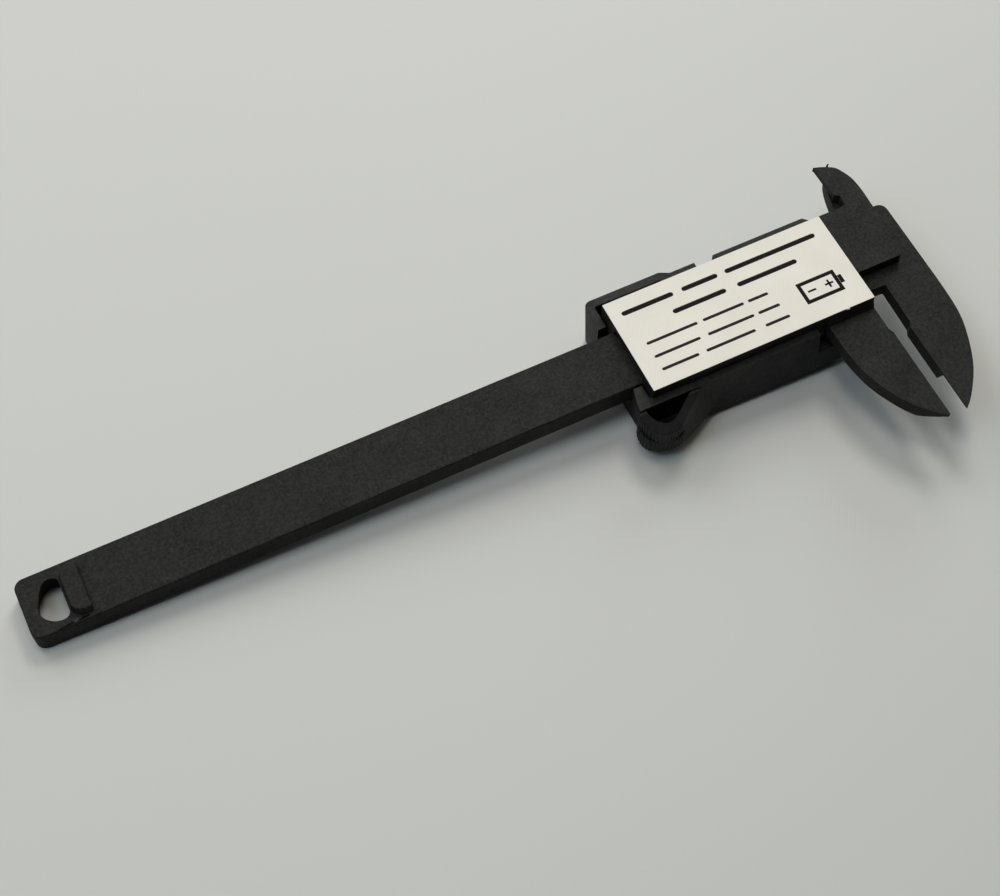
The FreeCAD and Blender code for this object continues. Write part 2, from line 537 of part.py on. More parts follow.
total = Part.makeCompound(list(NODES.values())).BoundBox
print("overall %.3f x %.3f x %.3f" % (total.XLength, total.YLength, total.ZLength))
print("box centre and base", round((total.XMin + total.XMax) / 2, 4), round((total.YMin + total.YMax) / 2, 4), round(total.ZMin, 4))
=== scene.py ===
import bpy, bmesh, math, random
from mathutils import Vector, Matrix


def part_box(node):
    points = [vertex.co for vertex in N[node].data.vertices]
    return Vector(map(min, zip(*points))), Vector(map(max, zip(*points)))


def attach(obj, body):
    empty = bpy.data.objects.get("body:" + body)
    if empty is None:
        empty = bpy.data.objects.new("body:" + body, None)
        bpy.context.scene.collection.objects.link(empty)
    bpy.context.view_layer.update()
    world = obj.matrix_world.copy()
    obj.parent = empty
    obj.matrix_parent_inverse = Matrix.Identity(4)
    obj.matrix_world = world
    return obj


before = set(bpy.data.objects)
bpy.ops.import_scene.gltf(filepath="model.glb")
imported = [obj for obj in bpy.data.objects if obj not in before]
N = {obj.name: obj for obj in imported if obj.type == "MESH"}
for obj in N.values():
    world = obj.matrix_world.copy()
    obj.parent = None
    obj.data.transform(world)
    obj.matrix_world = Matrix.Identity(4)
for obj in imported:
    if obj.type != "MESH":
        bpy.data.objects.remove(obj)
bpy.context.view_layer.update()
scene = bpy.context.scene
random.seed(7)

# --------------------------------------------------------------- the frame ---
# Millimetres measured from the beam: x = 0 near the fixed measuring face,
# y = 0 on the beam's centreline, z = 0 on the plain back of the beam.  The
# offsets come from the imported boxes.
blo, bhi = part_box("beam_with_fixed_jaws")
flo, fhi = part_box("front_housing")
OX = blo.x + 0.21957
OY = (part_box("scale_strip")[0].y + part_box("scale_strip")[1].y) / 2
OZ = bhi.z


def P(x, y, z=0.0):
    return Vector((OX + x / 1000.0, OY + y / 1000.0, OZ + z / 1000.0))


# ---------------------------------------------------------------- node help ---
class Tree:
    """Small helper to wire material nodes."""
    def __init__(self, name):
        self.m = bpy.data.materials.new(name)
        self.m.use_nodes = True
        self.t = self.m.node_tree
        self.t.nodes.clear()
        self.out = self.t.nodes.new("ShaderNodeOutputMaterial")
        self.b = self.t.nodes.new("ShaderNodeBsdfPrincipled")
        self.t.links.new(self.b.outputs[0], self.out.inputs[0])
        self.co = None

    def n(self, kind, **kw):
        nd = self.t.nodes.new(kind)
        for k, v in kw.items():
            setattr(nd, k, v)
        return nd

    def link(self, a, b):
        self.t.links.new(a, b)

    def coords(self):
        if self.co is None:
            self.co = self.n("ShaderNodeTexCoord").outputs["Object"]
        return self.co

    def scaled(self, sx, sy, sz, rot=(0, 0, 0)):
        mp = self.n("ShaderNodeMapping")
        mp.inputs["Scale"].default_value = (sx, sy, sz)
        mp.inputs["Rotation"].default_value = rot
        self.link(self.coords(), mp.inputs["Vector"])
        return mp.outputs[0]

    def noise(self, scale, detail=2.0, rough=0.5, vec=None, dist=0.0):
        nd = self.n("ShaderNodeTexNoise")
        nd.inputs["Scale"].default_value = scale
        nd.inputs["Detail"].default_value = detail
        nd.inputs["Roughness"].default_value = rough
        nd.inputs["Distortion"].default_value = dist
        self.link(vec if vec is not None else self.coords(), nd.inputs["Vector"])
        return nd.outputs["Fac"]

    def voronoi(self, scale, vec=None, feature="F1"):
        nd = self.n("ShaderNodeTexVoronoi", feature=feature)
        nd.inputs["Scale"].default_value = scale
        self.link(vec if vec is not None else self.coords(), nd.inputs["Vector"])
        return nd.outputs["Distance"]

    def ramp(self, fac, stops):
        nd = self.n("ShaderNodeValToRGB")
        el = nd.color_ramp.elements
        while len(el) < len(stops):
            el.new(0.5)
        for e, (p, c) in zip(el, stops):
            e.position = p
            e.color = (c[0], c[1], c[2], 1) if isinstance(c, (tuple, list)) else (c, c, c, 1)
        self.link(fac, nd.inputs[0])
        return nd.outputs[0]

    def rng(self, fac, a, b, c, d):
        nd = self.n("ShaderNodeMapRange")
        for i, v in zip((1, 2, 3, 4), (a, b, c, d)):
            nd.inputs[i].default_value = v
        self.link(fac, nd.inputs[0])
        return nd.outputs[0]

    def math(self, op, a, b=None):
        nd = self.n("ShaderNodeMath", operation=op)
        for i, v in enumerate((a, b)):
            if v is None:
                continue
            if isinstance(v, (int, float)):
                nd.inputs[i].default_value = v
            else:
                self.link(v, nd.inputs[i])
        return nd.outputs[0]

    def mix(self, fac, a, b, mode="MIX"):
        nd = self.n("ShaderNodeMix", data_type="RGBA", blend_type=mode)
        for i, v in zip((0, 6, 7), (fac, a, b)):
            if isinstance(v, (int, float)):
                nd.inputs[i].default_value = v
            elif isinstance(v, (tuple, list)):
                nd.inputs[i].default_value = (v[0], v[1], v[2], 1)
            else:
                self.link(v, nd.inputs[i])
        return nd.outputs[2]

    def bump(self, height, strength, dist, normal=None):
        nd = self.n("ShaderNodeBump")
        nd.inputs["Strength"].default_value = strength
        nd.inputs["Distance"].default_value = dist
        self.link(height, nd.inputs["Height"])
        if normal is not None:
            self.link(normal, nd.inputs["Normal"])
        return nd.outputs[0]

    def set(self, **kw):
        for k, v in kw.items():
            s = self.b.inputs[k.replace("_", " ")]
            if isinstance(v, (int, float)):
                s.default_value = v
            elif isinstance(v, (tuple, list)):
                s.default_value = (*v[:3], 1)
            else:
                self.link(v, s)
        return self


def srgb(*c):
    return tuple((v / 255 / 12.92) if v / 255 <= 0.04045 else ((v / 255 + 0.055) / 1.055) ** 2.4 for v in c)


# ---------------------------------------------------------------- materials ---
def moulded(name, base, rough=0.52, blotch=1.0, grain=1.0, spec=0.42, fleck=True, painted_shade_below=None):
    """Matt fibre-filled plastic: soft blotches, fine spark-eroded grain, short fibres and small scuffs."""
    T = Tree(name)
    # soft clouds a few millimetres across and finer mottling
    c1 = T.noise(260.0, 3.0, 0.55)
    c2 = T.noise(1300.0, 3.0, 0.6)
    dark = tuple(v * (1 - 0.20 * blotch) for v in base)
    lite = tuple(v * (1 + 0.22 * blotch) for v in base)
    col = T.ramp(c1, [(0.34, dark), (0.66, lite)])
    k = 1.0 if fleck else 0.08
    col2 = T.ramp(c2, [(0.36, tuple(v * (1 - 0.7 * k) for v in base)), (0.64, tuple(v * (1 + 0.8 * k) for v in base))])
    col = T.mix(0.6, col, col2)
    if fleck:
        # short fibres, thin streaks at random directions
        va = T.noise(1.0, 1.0, 0.5, T.scaled(620, 2900, 2400, (0, 0, 0.5)))
        vb = T.noise(1.0, 1.0, 0.5, T.scaled(2900, 620, 2400, (0, 0, 0.3)))
        f = T.math("MAXIMUM", va, vb)
        f = T.rng(f, 0.64, 0.76, 0.0, 1.0)
        col = T.mix(T.math("MULTIPLY", f, 0.75), col, tuple(min(1, v * 2.2 + 0.004) for v in base))
    painted_shade_mask = None
    # painted shade: faces that point up and lie below the given y get a darkened colour (a quarter of the base) and a
    # raised roughness
    if painted_shade_below is not None:
        sep = T.n("ShaderNodeSeparateXYZ")
        T.link(T.coords(), sep.inputs[0])
        nz = T.n("ShaderNodeSeparateXYZ")
        T.link(T.n("ShaderNodeNewGeometry").outputs["Normal"], nz.inputs[0])
        painted_shade_mask = T.math("MULTIPLY", T.math("LESS_THAN", sep.outputs["Y"], painted_shade_below),
                      T.rng(nz.outputs["Z"], 0.6, 0.9, 0.0, 1.0))
        col = T.mix(T.math("MULTIPLY", painted_shade_mask, 0.8), col, tuple(v * 0.25 for v in base))
    T.link(col, T.b.inputs["Base Color"])
    # roughness: handled patches are a little shinier
    r = T.rng(T.noise(120.0, 4.0, 0.6), 0.3, 0.7, rough - 0.07, rough + 0.09)
    if painted_shade_mask is not None:
        r = T.math("ADD", r, T.math("MULTIPLY", painted_shade_mask, 0.3))
    T.link(r, T.b.inputs["Roughness"])
    g1 = T.noise(5200.0, 2.0, 0.6)
    g2 = T.noise(1500.0, 2.0, 0.5)
    n1 = T.bump(g1, 0.30 * grain, 0.00003)
    n2 = T.bump(g2, 0.35 * grain, 0.00008, n1)
    T.link(n2, T.b.inputs["Normal"])
    T.b.inputs["Specular IOR Level"].default_value = spec
    return T.m


M = {}
M["body"] = moulded("charcoal_body", srgb(32, 32, 30), rough=0.60, spec=0.125)
# painted shade on the flat rim of the thumb lobe: its upward faces are darkened in colour and made rougher than the
# rest of the housing
M["housing"] = moulded("charcoal_housing", srgb(29, 30, 29), rough=0.55, blotch=0.7, spec=0.20,
                       painted_shade_below=(N["front_housing"].matrix_world.inverted() @ P(0, -15.4, 0)).y)
M["button"] = moulded("button_grey", srgb(128, 130, 132), rough=0.42, blotch=0.25, grain=0.6, fleck=False)


def label_mat():
    T = Tree("label_silver")
    base = srgb(233, 229, 217)
    c = T.noise(90.0, 3.0, 0.5)
    col = T.ramp(c, [(0.3, tuple(v * 0.955 for v in base)), (0.7, tuple(min(v * 1.02, 1) for v in base))])
    speck = T.noise(4200.0, 2.0, 0.7)
    col = T.mix(T.rng(speck, 0.45, 0.75, 0.0, 0.10), col, srgb(204, 200, 186))
    T.link(col, T.b.inputs["Base Color"])
    T.link(T.rng(T.noise(500.0, 2.0), 0.3, 0.7, 0.50, 0.60), T.b.inputs["Roughness"])
    T.b.inputs["Specular IOR Level"].default_value = 0.2
    T.link(T.bump(T.noise(900.0, 3.0, 0.55), 0.10, 0.00004), T.b.inputs["Normal"])
    return T.m


def simple(name, base, rough, metal=0.0, grain=900.0, amount=0.12, var=0.10, spec=0.5, streak=None):
    """A surface with mild colour variation and a fine texture of its own."""
    T = Tree(name)
    vec = T.scaled(*streak) if streak else None
    sc = 1.0 if streak else grain
    c = T.noise(sc, 3.0, 0.55, vec)
    col = T.ramp(c, [(0.3, tuple(v * (1 - var) for v in base)), (0.7, tuple(min(1, v * (1 + var)) for v in base))])
    T.link(col, T.b.inputs["Base Color"])
    T.b.inputs["Metallic"].default_value = metal
    r = T.noise(sc * 2.3, 2.0, 0.5, vec)
    T.link(T.rng(r, 0.3, 0.7, max(0.04, rough * 0.85), min(1, rough * 1.15)), T.b.inputs["Roughness"])
    T.link(T.bump(r, amount, 0.00004), T.b.inputs["Normal"])
    T.b.inputs["Specular IOR Level"].default_value = spec
    return T.m


M["label"] = label_mat()
M["ink"] = simple("print_ink", srgb(22, 17, 17), 0.55, spec=0.06, grain=2500.0, amount=0.05, var=0.12)
M["ink_soft"] = simple("print_ink_fine", srgb(42, 35, 32), 0.55, spec=0.06, grain=2500.0, amount=0.05, var=0.15)
M["film"] = simple("ruler_film_silver", srgb(196, 198, 198), 0.34, metal=0.35, streak=(300, 9000, 9000), var=0.06, amount=0.06)
M["laminate"] = simple("board_green", srgb(24, 92, 52), 0.34, grain=1600.0, var=0.15)
M["strip"] = simple("scale_green", srgb(30, 80, 50), 0.4, grain=1600.0, var=0.15)
M["copper"] = simple("contact_gold", srgb(212, 170, 92), 0.28, metal=1.0, grain=1200.0)
M["steel"] = simple("spring_steel", srgb(196, 194, 188), 0.26, metal=1.0, streak=(600, 9000, 4000), var=0.06)
M["screw"] = simple("zinc_screw", srgb(176, 178, 180), 0.32, metal=1.0, grain=2600.0, var=0.10)
M["cell"] = simple("cell_nickel", srgb(206, 205, 201), 0.18, metal=1.0, grain=700.0, var=0.05, amount=0.05)
M["chip"] = simple("chip_resin", srgb(22, 22, 23), 0.28, grain=1500.0, var=0.2, amount=0.2)
M["part"] = simple("component_body", srgb(122, 100, 74), 0.45, grain=2200.0, var=0.2)
M["white"] = simple("printed_white", srgb(214, 214, 208), 0.5, grain=2400.0, var=0.06, amount=0.05)
M["scar"] = simple("scar_pale", srgb(56, 55, 50), 0.6, grain=2600.0, var=0.3, spec=0.12)
# near-black, used only as painted shade in the tail scars
M["hole"] = simple("slit_painted_shade", srgb(10, 10, 10), 0.8, grain=2000.0, var=0.2, spec=0.04)


def zebra_mat():
    T = Tree("zebra_elastomer")
    w = T.n("ShaderNodeTexWave", wave_type="BANDS", bands_direction="X")
    w.inputs["Scale"].default_value = 1400.0
    w.inputs["Distortion"].default_value = 0.4
    T.link(T.coords(), w.inputs["Vector"])
    T.link(T.ramp(w.outputs["Fac"], [(0.42, srgb(30, 28, 26)), (0.58, srgb(206, 196, 176))]), T.b.inputs["Base Color"])
    T.link(T.rng(T.noise(900.0), 0.3, 0.7, 0.55, 0.7), T.b.inputs["Roughness"])
    T.link(T.bump(w.outputs["Fac"], 0.1, 0.00003), T.b.inputs["Normal"])
    return T.m


def lens_mat():
    T = Tree("lens_clear")
    T.set(Base_Color=srgb(236, 240, 238), Roughness=0.06, IOR=1.49)
    T.b.inputs["Transmission Weight"].default_value = 0.0
    T.b.inputs["Alpha"].default_value = 0.22
    T.link(T.rng(T.noise(160.0, 3.0), 0.3, 0.7, 0.04, 0.12), T.b.inputs["Roughness"])
    T.link(T.bump(T.noise(500.0, 2.0), 0.03, 0.00003), T.b.inputs["Normal"])
    return T.m


def display_mat():
    T = Tree("display_glass")
    c = T.noise(220.0, 3.0, 0.5)
    T.link(T.ramp(c, [(0.3, srgb(150, 160, 144)), (0.7, srgb(160, 170, 153))]), T.b.inputs["Base Color"])
    T.link(T.rng(T.noise(700.0), 0.3, 0.7, 0.14, 0.22), T.b.inputs["Roughness"])
    T.link(T.bump(T.noise(2500.0, 2.0), 0.04, 0.00003), T.b.inputs["Normal"])
    return T.m


M["zebra"] = zebra_mat()
M["lens"] = lens_mat()
M["display"] = display_mat()
M["segment"] = simple("display_segment", srgb(38, 44, 40), 0.25, grain=1500.0, var=0.1, amount=0.03)
M["ghost"] = simple("display_segment_off", srgb(138, 148, 132), 0.25, grain=1500.0, var=0.05, amount=0.03)

NODE_MAT = {
    "beam_with_fixed_jaws": "body", "end_stop": "body", "slider_frame": "body", "front_housing": "housing",
    "battery_cover": "housing", "rear_label": "label", "scale_strip": "strip", "scale_ruler_film": "film",
    "display_lens": "lens", "display_module": "display", "zebra_connector": "zebra", "main_board": "laminate",
    "controller_chip": "chip", "board_components": "part", "switch_domes": "copper", "board_screws": "screw",
    "housing_screws": "screw", "button_cell": "cell", "cell_contact_negative": "steel",
    "cell_contact_positive": "steel", "button_units": "button", "button_power": "button", "button_zero": "button",
}
for name, key in NODE_MAT.items():
    o = N[name]
    o.data.materials.clear()
    o.data.materials.append(M[key])


# small rounding of the moulded edges, so that they catch the light
def soft_edges(name, width, angle=38, seg=2):
    o = N[name]
    for p in o.data.polygons:
        p.use_smooth = True
    b = o.modifiers.new("edge", "BEVEL")
    b.width = width
    b.segments = seg
    b.limit_method = "ANGLE"
    b.angle_limit = math.radians(angle)
    b.use_clamp_overlap = True
    b.harden_normals = True
    b.miter_outer = "MITER_ARC"


# ------------------------------------------------------------------- camera ---
# Position and directions solved from the straight edges of the object.
TH = 0.00168


def rz(v):
    return Vector((v[0] - TH * v[1], v[1] + TH * v[0], v[2]))


cam_rel = rz((22.02, -189.638, 0.0))
cam_pos = P(-213.0 + cam_rel.x, cam_rel.y, 367.11)
right = rz((0.89980549, -0.43628227, -0.00280397))
up = rz((0.38430986, 0.78954047, 0.47846815))
back = rz((-0.20653333, -0.43160586, 0.87810043))
cam = bpy.data.cameras.new("camera")
cam.sensor_width = 36.0
cam.sensor_fit = "HORIZONTAL"
cam.lens = 1771.22 * 36.0 / 1000.0
cam.clip_start = 0.01
cam.clip_end = 20.0
camo = bpy.data.objects.new("camera", cam)
scene.collection.objects.link(camo)
m = Matrix(((right.x, up.x, back.x, cam_pos.x), (right.y, up.y, back.y, cam_pos.y),
            (right.z, up.z, back.z, cam_pos.z), (0, 0, 0, 1)))
camo.matrix_world = m
scene.camera = camo
scene.view_settings.view_transform = "Standard"
scene.view_settings.look = "None"

# -------------------------------------------------------------- floor, light ---
def floor_mat():
    T = Tree("table_white")
    base = srgb(205, 206, 201)
    c = T.noise(3.0, 2.0, 0.5)
    T.link(T.ramp(c, [(0.3, tuple(v * 0.985 for v in base)), (0.7, tuple(v * 1.01 for v in base))]), T.b.inputs["Base Color"])
    T.b.inputs["Roughness"].default_value = 0.55
    T.b.inputs["Specular IOR Level"].default_value = 0.25
    T.link(T.bump(T.noise(420.0, 3.0, 0.5), 0.05, 0.0001), T.b.inputs["Normal"])
    return T.m


bm = bmesh.new()
s = 3.0
# The caliper leans on its tail: the table touches the tail end of the housing
# and the end of the beam, so it lies at a small angle to the frame.
pa, pb = P(-68.0, 0.0, -13.65), P(-219.7, 0.0, -6.05)
slope = (pb.z - pa.z) / (pb.x - pa.x)
vs = [bm.verts.new((x, y, pa.z + slope * (x - pa.x))) for x, y in ((-s, -s), (s, -s), (s, s), (-s, s))]
bm.faces.new(vs)
me = bpy.data.meshes.new("table")
bm.to_mesh(me); bm.free()
table = bpy.data.objects.new("table", me)
me.materials.append(floor_mat())
scene.collection.objects.link(table)

world = bpy.data.worlds.new("room")
scene.world = world
world.use_nodes = True
bg = world.node_tree.nodes["Background"]
bg.inputs[0].default_value = (0.93, 0.97, 1.0, 1)
bg.inputs[1].default_value = 0.03


def area(name, loc, target, size, power, color=(1, 1, 1)):
    l = bpy.data.lights.new(name, "AREA")
    l.shape = "DISK"
    l.size = size
    l.energy = power
    l.color = color
    o = bpy.data.objects.new(name, l)
    scene.collection.objects.link(o)
    o.location = loc
    d = Vector(target) - Vector(loc)
    o.rotation_euler = d.to_track_quat("-Z", "Y").to_euler()
    return o


# Soft studio light: broad panels behind and to the right, and nearer lamps
# that give the fall-off across the table.
PANELS = [
    ((0.496, 0.496, 1.438), 0.70, 0.542, (1.0, 0.554, 0.14)),
    ((1.189, 0.0, 1.071), 0.70, 1.019, (0.963, 1.0, 0.837)),
    ((0.367, 1.131, 1.071), 0.70, 2.194, (1.0, 0.935, 0.86)),
    ((-0.367, 1.131, 1.071), 0.70, 4.651, (0.977, 1.0, 0.961)),
    ((-0.962, 0.699, 1.071), 0.70, 0.945, (1.0, 0.996, 0.249)),
    ((-1.189, 0.0, 1.071), 0.70, 1.756, (0.581, 0.699, 1.0)),
    ((1.049, 1.049, 0.599), 0.70, 5.836, (0.931, 0.98, 1.0)),
    ((0.0, 1.483, 0.599), 0.70, 1.982, (0.946, 0.839, 1.0)),
    ((0.35, 0.45, 0.75), 0.30, 2.059, (0.989, 1.0, 0.991)),
    ((-0.35, 0.45, 0.75), 0.30, 0.366, (0.844, 0.596, 1.0)),
    ((0.0, 0.1, 0.9), 0.30, 1.278, (1.0, 0.954, 0.899)),
    ((-0.4, 0.0, 0.8), 0.30, 1.381, (0.779, 0.901, 1.0)),
]
for i, (loc, size, power, color) in enumerate(PANELS):
    area("panel_%02d" % i, loc, (0, 0, 0), size, power, color)


# ------------------------------------------------------------- mesh helpers ---
def mesh_object(name, bm, mat, body, bevel=0.0, smooth=False):
    bmesh.ops.recalc_face_normals(bm, faces=bm.faces)
    me = bpy.data.meshes.new(name)
    bm.to_mesh(me)
    bm.free()
    me.materials.append(M[mat])
    o = bpy.data.objects.new(name, me)
    scene.collection.objects.link(o)
    if smooth:
        for p in me.polygons:
            p.use_smooth = True
    if bevel:
        b = o.modifiers.new("edge", "BEVEL")
        b.width = bevel
        b.segments = 2
        b.limit_method = "ANGLE"
        b.angle_limit = math.radians(35)
    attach(o, body)
    return o


def slab(bm, pts, z0, z1):
    """Closed prism of a plan polygon, in measure millimetres."""
    lo = [bm.verts.new(P(x, y, z0)) for x, y in pts]
    hi = [bm.verts.new(P(x, y, z1)) for x, y in pts]
    n = len(pts)
    bm.faces.new(list(reversed(lo)))
    bm.faces.new(hi)
    for i in range(n):
        j = (i + 1) % n
        bm.faces.new([lo[i], lo[j], hi[j], hi[i]])


def pill(bm, x0, x1, y, h, z0, z1, k=5):
    """Bar with round ends."""
    r = h / 2
    pts = []
    for i in range(k + 1):
        a = -math.pi / 2 + math.pi * i / k
        pts.append((x1 - r + r * math.cos(a), y + r * math.sin(a)))
    for i in range(k + 1):
        a = math.pi / 2 + math.pi * i / k
        pts.append((x0 + r + r * math.cos(a), y + r * math.sin(a)))
    slab(bm, pts, z0, z1)


def ring(bm, cx, cy, r, w, z0, z1, a0=0.0, a1=2 * math.pi, k=40):
    """Arc or ring of width w as a closed prism."""
    full = abs(a1 - a0 - 2 * math.pi) < 1e-6
    steps = k if full else k + 1
    rows = []
    for i in range(steps):
        a = a0 + (a1 - a0) * i / k
        c, s_ = math.cos(a), math.sin(a)
        rows.append([bm.verts.new(P(cx + rr * c, cy + rr * s_, zz)) for rr, zz in
                     ((r - w / 2, z0), (r + w / 2, z0), (r + w / 2, z1), (r - w / 2, z1))])
    for i in range(steps if full else steps - 1):
        a, b = rows[i], rows[(i + 1) % steps]
        for j in range(4):
            bm.faces.new([a[j], a[(j + 1) % 4], b[(j + 1) % 4], b[j]])
    if not full:
        bm.faces.new(rows[0])
        bm.faces.new(list(reversed(rows[-1])))


# --------------------------------------------------------------- rear label ---
llo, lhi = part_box("rear_label")
LZ = (lhi.z - OZ) * 1000
Z0, Z1 = LZ - 0.02, LZ + 0.012
# two larger rows and three smaller rows of plain bars, and a battery pictogram
rows = [
    (9.75, 1.3, [(-62.6, -48.4), (-46.0, -36.0), (-33.9, -8.2)], "ink"),
    (4.95, 1.3, [(-51.0, -36.2), (-33.0, -16.2)], "ink"),
    (-0.35, 0.8, [(-61.1, -47.1), (-45.6, -34.2), (-33.0, -27.4)], "ink_soft"),
    (-4.45, 0.8, [(-61.1, -48.5), (-46.4, -33.6), (-32.4, -26.4)], "ink_soft"),
    (-8.35, 0.8, [(-61.1, -51.0), (-49.0, -35.4), (-32.6, -25.8)], "ink_soft"),
]
bm_t, bm_s = bmesh.new(), bmesh.new()
for y, h, spans, ink in rows:
    for a, b in spans:
        pill(bm_t if ink == "ink" else bm_s, a, b, y, h, Z0, Z1)
# battery pictogram: outline, terminal, plus and minus
bx0, bx1, by0, by1, w = -20.2, -9.6, -7.6, -1.2, 1.0
for x0, x1, y0, y1 in ((bx0, bx1, by0, by0 + w), (bx0, bx1, by1 - w, by1), (bx0, bx0 + w, by0 + w, by1 - w),
                       (bx1 - w, bx1, by0 + w, by1 - w), (bx1 + 0.05, bx1 + 1.1, -5.6, -3.2)):
    slab(bm_t, [(x0, y0), (x1, y0), (x1, y1), (x0, y1)], Z0, Z1)
cxp, cyp = -12.4, -4.4
slab(bm_t, [(cxp - 1.15, cyp - 0.27), (cxp - 0.27, cyp - 0.27), (cxp - 0.27, cyp - 1.15), (cxp + 0.27, cyp - 1.15),
            (cxp + 0.27, cyp - 0.27), (cxp + 1.15, cyp - 0.27), (cxp + 1.15, cyp + 0.27), (cxp + 0.27, cyp + 0.27),
            (cxp + 0.27, cyp + 1.15), (cxp - 0.27, cyp + 1.15), (cxp - 0.27, cyp + 0.27), (cxp - 1.15, cyp + 0.27)], Z0, Z1)
slab(bm_t, [(-18.4, cyp - 0.27), (-16.1, cyp - 0.27), (-16.1, cyp + 0.27), (-18.4, cyp + 0.27)], Z0, Z1)
mesh_object("label_marks", bm_t, "ink", "slider")
mesh_object("label_fine_marks", bm_s, "ink_soft", "slider")

# -------------------------------------------------------- ruler on the beam ---
rlo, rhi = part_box("scale_ruler_film")
RZ = (rlo.z - OZ) * 1000
Y_TOP, Y_BOT = 5.6, -5.6
bm = bmesh.new()
zt0, zt1 = RZ - 0.012, RZ + 0.02
x_zero = (flo.x - OX) * 1000 + 4.5  # zero line: the tail end of the housing stands here when the jaws are closed
for i in range(0, 151):
    x = x_zero - i
    if x < -203.0:
        break
    L = 3.2 if i % 10 == 0 else (2.4 if i % 5 == 0 else 1.6)
    slab(bm, [(x - 0.09, Y_BOT), (x + 0.09, Y_BOT), (x + 0.09, Y_BOT + L), (x - 0.09, Y_BOT + L)], zt0, zt1)
i = 0
while True:
    x = x_zero - i * 25.4 / 16
    if x < -203.0:
        break
    L = 3.2 if i % 16 == 0 else (2.6 if i % 8 == 0 else (2.0 if i % 4 == 0 else 1.4))
    slab(bm, [(x - 0.09, Y_TOP - L), (x + 0.09, Y_TOP - L), (x + 0.09, Y_TOP), (x - 0.09, Y_TOP)], zt0, zt1)
    i += 1
slab(bm, [(-203.4, -5.75), (7.4, -5.75), (7.4, -5.62), (-203.4, -5.62)], zt0, zt1)
slab(bm, [(-203.4, 5.62), (7.4, 5.62), (7.4, 5.75), (-203.4, 5.75)], zt0, zt1)
mesh_object("ruler_graduations", bm, "ink", "beam")


def numeral(text, x, y, z, height, name):
    """A plain numeral that reads from the display side."""
    c = bpy.data.curves.new(name, "FONT")
    c.body = text
    c.size = height / 1000 * 1.38
    c.align_x = "CENTER"
    c.align_y = "CENTER"
    c.extrude = 0.000012
    o = bpy.data.objects.new(name, c)
    scene.collection.objects.link(o)
    o.matrix_world = Matrix.Translation(P(x, y, z)) @ Matrix.Rotation(math.pi, 4, "X")
    return o


nums = []
for i in range(0, 131, 10):
    nums.append(numeral(str(i // 10), x_zero - i + (0.0 if i else -1.0), -1.15, RZ, 1.9, "n%d" % i))
for i in range(0, 6):
    nums.append(numeral(str(i), x_zero - i * 25.4 + (0.0 if i else -1.0), 1.5, RZ, 1.9, "q%d" % i))
bpy.context.view_layer.update()
deps = bpy.context.evaluated_depsgraph_get()
bm = bmesh.new()
for o in nums:
    me = bpy.data.meshes.new_from_object(o.evaluated_get(deps))
    me.transform(o.matrix_world)
    bm.from_mesh(me)
    bpy.data.meshes.remove(me)
for o in nums:
    c = o.data
    bpy.data.objects.remove(o)
    bpy.data.curves.remove(c)
bmesh.ops.remove_doubles(bm, verts=bm.verts, dist=1e-7)
mesh_object("ruler_numerals", bm, "ink", "beam")

# -------------------------------------------------------------- display side ---
dlo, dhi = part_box("display_module")
DZ = (dlo.z - OZ) * 1000
dcx = (dlo.x + dhi.x) / 2 * 1000 - OX * 1000
dcy = (dlo.y + dhi.y) / 2 * 1000 - OY * 1000
bm = bmesh.new()


def digit(bm, cx, cy, w, h, t, z0, z1):
    """Seven segment figure with every segment drawn; sheared bars with pointed ends."""
    g = t * 0.22
    def bar(xa, ya, xb, yb):
        dx, dy = xb - xa, yb - ya
        L_ = math.hypot(dx, dy)
        ux, uy = dx / L_, dy / L_
        nx, ny = -uy, ux
        a, b = g, L_ - g
        hp = t / 2
        pts = [(a, 0), (a + hp, hp), (b - hp, hp), (b, 0), (b - hp, -hp), (a + hp, -hp)]
        slab(bm, [(xa + ux * p + nx * q, ya + uy * p + ny * q) for p, q in pts], z0, z1)
    x0, x1, y0, y1, ym = cx - w / 2, cx + w / 2, cy - h / 2, cy + h / 2, cy
    bar(x0, y1, x1, y1); bar(x0, ym, x1, ym); bar(x0, y0, x1, y0)
    bar(x0, y0, x0, ym); bar(x0, ym, x0, y1); bar(x1, y0, x1, ym); bar(x1, ym, x1, y1)


for k in range(5):
    digit(bm, dcx + 10.4 - k * 5.2, dcy, 3.3, 7.0, 0.75, DZ - 0.012, DZ + 0.01)
for k in range(5):
    pill(bm, dcx + 10.4 - k * 5.2 - 2.9, dcx + 10.4 - k * 5.2 - 2.3, dcy + 3.5, 0.6, DZ - 0.012, DZ + 0.01)
mesh_object("display_segments", bm, "ghost", "slider")

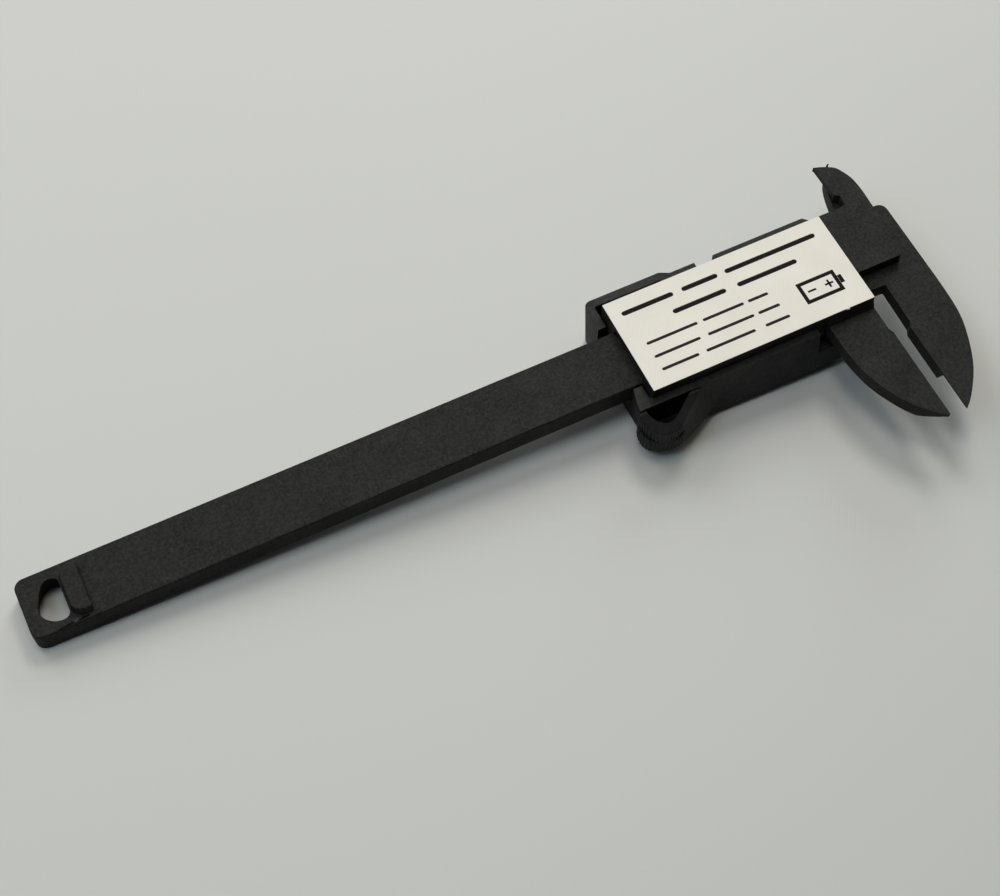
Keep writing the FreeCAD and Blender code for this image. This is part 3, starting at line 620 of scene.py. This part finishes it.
# symbols on the three buttons
for name, key in (("button_units", "key_units"), ("button_power", "key_power"), ("button_zero", "key_zero")):
    b0, b1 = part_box(name)
    cx = (b0.x + b1.x) / 2 * 1000 - OX * 1000
    cy = (b0.y + b1.y) / 2 * 1000 - OY * 1000
    cz = (b0.z - OZ) * 1000
    bm = bmesh.new()
    if key == "key_power":
        ring(bm, cx, cy, 1.15, 0.3, cz - 0.012, cz + 0.03, math.radians(-60), math.radians(240), 30)
        slab(bm, [(cx - 0.15, cy - 1.6), (cx + 0.15, cy - 1.6), (cx + 0.15, cy - 0.2), (cx - 0.15, cy - 0.2)], cz - 0.012, cz + 0.03)
    elif key == "key_zero":
        ring(bm, cx, cy, 1.0, 0.3, cz - 0.012, cz + 0.03, 0, 2 * math.pi, 32)
        for v in bm.verts:
            mid = P(cx, cy, cz)
            v.co.x = mid.x + (v.co.x - mid.x) * 0.72
            v.co.y = mid.y + (v.co.y - mid.y) * 1.15
    else:
        for sgn in (1, -1):
            slab(bm, [(cx - sgn * 1.3, cy + sgn * 0.35), (cx + sgn * 0.5, cy + sgn * 0.35), (cx + sgn * 0.5, cy + sgn * 0.1),
                      (cx + sgn * 1.4, cy + sgn * 0.55), (cx + sgn * 0.5, cy + sgn * 1.0), (cx + sgn * 0.5, cy + sgn * 0.7),
                      (cx - sgn * 1.3, cy + sgn * 0.7)], cz - 0.012, cz + 0.03)
    mesh_object(name + "_symbol", bm, "white", key)

# ------------------------------------------------- mould flash, flash scars and a painted glint ---
bm = bmesh.new()
path = [(5.45, 26.55, 2.9), (5.75, 26.95, 2.95), (6.05, 27.25, 3.05), (6.35, 27.38, 3.1)]
rad = [0.30, 0.27, 0.24, 0.14]
prev = None
for (x, y, z), r in zip(path, rad):
    loop = []
    for i in range(8):
        a = 2 * math.pi * i / 8
        loop.append(bm.verts.new(P(x + r * math.cos(a) * 0.74, y - r * math.cos(a) * 0.67, z + r * math.sin(a))))
    if prev:
        for i in range(8):
            bm.faces.new([prev[i], prev[(i + 1) % 8], loop[(i + 1) % 8], loop[i]])
    else:
        bm.faces.new(list(reversed(loop)))
    prev = loop
bm.faces.new(prev)
mesh_object("horn_flash", bm, "body", "slider", smooth=True)

# shallow scars at the lower edge of the tail, where flash was cut away; their near-black colour is painted shade,
# standing in for the shadow under the overhanging flash
bm = bmesh.new()
for pts in ([(-213.8, -7.75), (-212.3, -7.38), (-210.0, -7.2), (-209.6, -7.45), (-210.1, -7.6), (-212.2, -7.68)],
            [(-208.7, -7.45), (-207.6, -7.0), (-206.2, -6.9), (-206.0, -7.35), (-207.4, -7.5), (-208.5, -7.65)]):
    slab(bm, pts, -0.16, 0.012)
mesh_object("tail_scars_painted_shade", bm, "hole", "beam")
bm = bmesh.new()
slab(bm, [(-210.0, -7.4), (-209.6, -6.9), (-208.7, -6.7), (-208.5, -7.0), (-209.0, -7.4), (-209.6, -7.6)], -0.10, 0.012)
mesh_object("tail_smear", bm, "scar", "beam")
# painted highlight: a pale sliver of label material at the lower edge of the rear label, standing in for a glint on the
# label's edge
bm = bmesh.new()
slab(bm, [(-12.7, -12.74), (-12.2, -12.95), (-11.7, -13.0), (-11.4, -12.86), (-12.0, -12.74)], 3.02, 3.24)
mesh_object("label_edge_glint", bm, "label", "slider")

# edges of the mouldings
for name, width, angle in (("beam_with_fixed_jaws", 0.00022, 40), ("slider_frame", 0.00018, 40),
                           ("front_housing", 0.00022, 45), ("end_stop", 0.00015, 40), ("battery_cover", 0.00015, 40)):
    soft_edges(name, width, angle)
